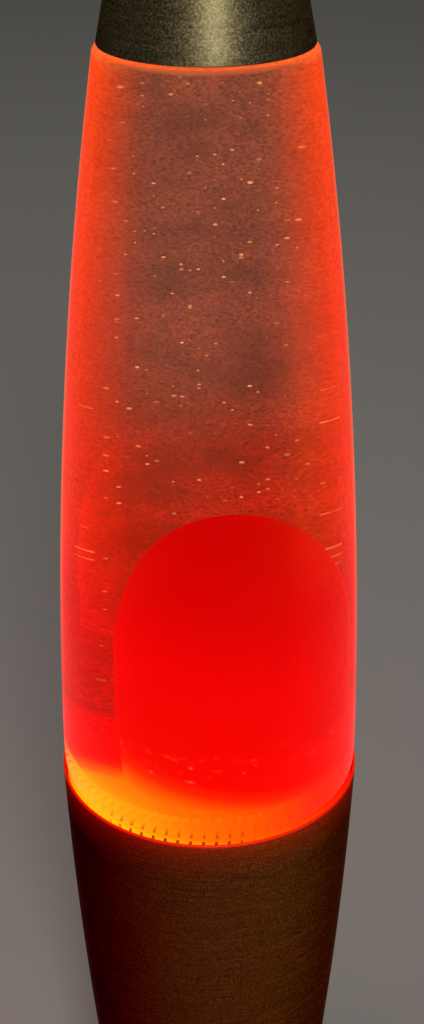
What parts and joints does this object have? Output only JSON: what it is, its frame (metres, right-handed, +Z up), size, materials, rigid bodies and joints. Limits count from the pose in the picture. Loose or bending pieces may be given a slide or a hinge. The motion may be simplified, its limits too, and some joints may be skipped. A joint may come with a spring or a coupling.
{
  "type": "lava lamp",
  "caption": "Liquid-motion lamp: spun metal base and cap, a spindle glass bottle of liquid with a rising wax blob, and a bulb below that heats and lights it.",
  "frame": {"origin": "on the table, under the lamp's axis", "axes": "+Z up along the axis of the base, bottle and cap; +Y towards the cord grommet"},
  "size_m": [0.0936, 0.0936, 0.41],
  "materials": {
    "spun_aluminium": "satin, brushed round the axis",
    "bottle_glass": "clear, smooth",
    "lamp_fluid": "tinted liquid, slightly hazy",
    "red_wax": "translucent molten wax, lit from below",
    "coil_steel": "drawn wire",
    "zinc_steel": "zinc plated",
    "brass": "plain",
    "black_plastic": "moulded",
    "black_rubber": "moulded",
    "white_plastic": "moulded, heat resistant",
    "bulb_glass": "clear face, mirrored sides"
  },
  "bodies": {
    "base": {"base_cup": "spun_aluminium", "foot_flare": "spun_aluminium", "globe_seat": "zinc_steel", "bottom_plate": "black_plastic", "cord_grommet": "black_rubber", "earth_tag": "brass", "threaded_nipple": "zinc_steel", "nipple_washer": "zinc_steel", "nipple_nut": "zinc_steel", "lampholder_dome": "white_plastic", "lampholder_insert": "white_plastic", "lampholder_skirt": "white_plastic", "lampholder_thread": "brass", "centre_contact": "brass", "terminal_screw_1": "brass", "terminal_screw_2": "brass", "standoff_1": "zinc_steel", "standoff_nut_1": "zinc_steel", "plate_screw_1": "zinc_steel", "rubber_foot_1": "black_rubber", "standoff_2": "zinc_steel", "standoff_nut_2": "zinc_steel", "plate_screw_2": "zinc_steel", "rubber_foot_2": "black_rubber", "standoff_3": "zinc_steel", "standoff_nut_3": "zinc_steel", "plate_screw_3": "zinc_steel", "rubber_foot_3": "black_rubber"},
    "bulb": {"bulb_envelope": "bulb_glass", "bulb_screw_cap": "brass", "bulb_insulator": "black_plastic", "bulb_tip": "zinc_steel", "bulb_stem": "bulb_glass", "bulb_lead_1": "coil_steel", "bulb_lead_2": "coil_steel", "bulb_filament": "coil_steel"},
    "globe": {"globe_bottle": "bottle_glass", "crown_liner": "black_rubber", "crown_cap": "zinc_steel", "heating_coil": "coil_steel", "liquid": "lamp_fluid", "wax_pool": "red_wax"},
    "wax": {"wax_blob": "red_wax"},
    "cap": {"top_cap": "spun_aluminium"}
  },
  "joints": [
    {"name": "globe_lift", "type": "slide", "parent": "base", "child": "globe", "axis": [0, 0, 1], "range_m": [0, 0.08]},
    {"name": "cap_lift", "type": "slide", "parent": "globe", "child": "cap", "axis": [0, 0, 1], "range_m": [0, 0.06]},
    {"name": "wax_rise", "type": "slide", "parent": "globe", "child": "wax", "axis": [0, 0, 1], "range_m": [0, 0.1], "deforming": ["liquid"]},
    {"name": "bulb_unscrew", "type": "hinge", "parent": "base", "child": "bulb", "pos_m": [0, 0, 0.075], "axis": [0, 0, 1], "range_deg": [0, 900]}
  ]
}
